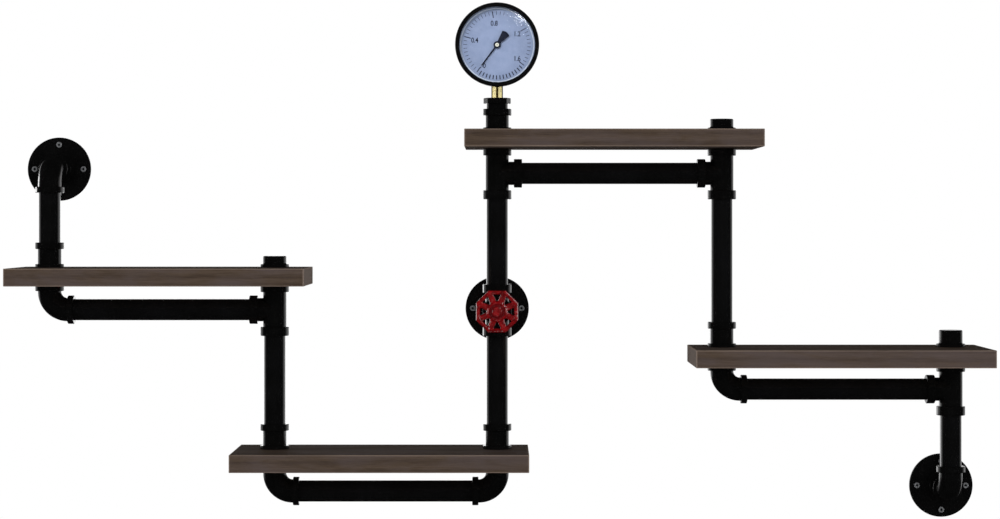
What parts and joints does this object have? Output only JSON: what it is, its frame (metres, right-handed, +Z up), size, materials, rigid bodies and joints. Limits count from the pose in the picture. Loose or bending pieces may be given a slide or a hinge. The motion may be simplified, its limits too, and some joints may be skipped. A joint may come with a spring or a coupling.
{
  "type": "wall-mounted pipe shelving unit",
  "caption": "Wall shelving unit of stepped dark wooden boards on black iron pipe, with wall flanges, a red handwheel and a pressure gauge on top",
  "frame": {"origin": "where the axis of the middle wall flange meets the wall plane", "axes": "+X to the right along the boards as seen from the front, +Y into the wall, +Z up"},
  "size_m": [1.2244, 0.189, 0.6585],
  "materials": {
    "black_iron": "satin black powder coat on malleable iron and steel pipe",
    "walnut_board": "dark walnut stain, satin, fine straight grain",
    "red_enamel": "gloss red enamel on cast iron",
    "screw_steel": "dull zinc plate",
    "gauge_black": "gloss black stove enamel",
    "pointer_black": "matt black lacquer",
    "gauge_glass": "clear polished",
    "dial_blue": "matt pale blue print on sheet",
    "brass": "machined, bright"
  },
  "bodies": {
    "frame": {"upper_left_rail": "black_iron", "low_rail": "black_iron", "top_rail": "black_iron", "right_rail": "black_iron", "left_pipe": "black_iron", "lower_centre_pipe": "black_iron", "upper_centre_pipe": "black_iron", "right_pipe": "black_iron", "left_end_pipe": "black_iron", "right_end_pipe": "black_iron", "left_wall_pipe": "black_iron", "middle_wall_pipe": "black_iron", "right_wall_pipe": "black_iron", "upper_left_elbow": "black_iron", "low_left_elbow": "black_iron", "low_right_elbow": "black_iron", "right_elbow": "black_iron", "left_wall_elbow": "black_iron", "right_wall_elbow": "black_iron", "upper_left_tee": "black_iron", "top_left_tee": "black_iron", "top_right_tee": "black_iron", "right_tee": "black_iron", "cross_fitting": "black_iron", "upper_left_coupling": "black_iron", "low_left_coupling": "black_iron", "low_right_coupling": "black_iron", "right_coupling": "black_iron", "gauge_coupling": "black_iron", "upper_left_cap": "black_iron", "top_cap": "black_iron", "right_cap": "black_iron", "board_nipples": "black_iron", "left_flange": "black_iron", "middle_flange": "black_iron", "right_flange": "black_iron", "valve_bonnet": "black_iron", "gland_nut": "black_iron", "gauge_bushing": "black_iron", "upper_left_board": "walnut_board", "low_board": "walnut_board", "top_board": "walnut_board", "right_board": "walnut_board", "wall_screws": "screw_steel", "gauge_case": "gauge_black", "gauge_bezel": "gauge_black", "gauge_glass": "gauge_glass", "gauge_dial": "dial_blue", "gauge_stem": "brass", "bourdon_tube": "brass", "tube_tip": "brass", "movement_back_plate": "brass", "movement_front_plate": "brass"},
    "handwheel": {"handwheel": "red_enamel", "wheel_nut": "red_enamel", "valve_spindle": "screw_steel"},
    "pointer": {"gauge_pointer": "pointer_black", "pinion_arbor": "screw_steel"},
    "sector": {"sector_gear": "brass"},
    "link": {"gauge_link": "brass"}
  },
  "joints": [
    {"name": "handwheel_turn", "type": "hinge", "parent": "frame", "child": "handwheel", "pos_m": [0, -0.129, 0], "axis": [0, 1, 0], "continuous": true},
    {"name": "sector_swing", "type": "hinge", "parent": "frame", "child": "sector", "pos_m": [0, -0.074, 0.3153], "axis": [0, 1, 0], "range_deg": [-30, 0], "stiffness_Nm_per_rad": 0.01, "springref_deg": 11.46},
    {"name": "pointer_turn", "type": "hinge", "parent": "frame", "child": "pointer", "pos_m": [0, -0.074, 0.3353], "axis": [0, 1, 0], "range_deg": [0, 270]},
    {"name": "link_swing", "type": "hinge", "parent": "sector", "child": "link", "pos_m": [-0.00181, -0.074, 0.30854], "axis": [0, 1, 0], "range_deg": [0, 30]}
  ],
  "couplings": [
    {"joint": "pointer_turn", "follows": "sector_swing", "ratio": -9},
    {"joint": "link_swing", "follows": "sector_swing", "ratio": -1}
  ]
}
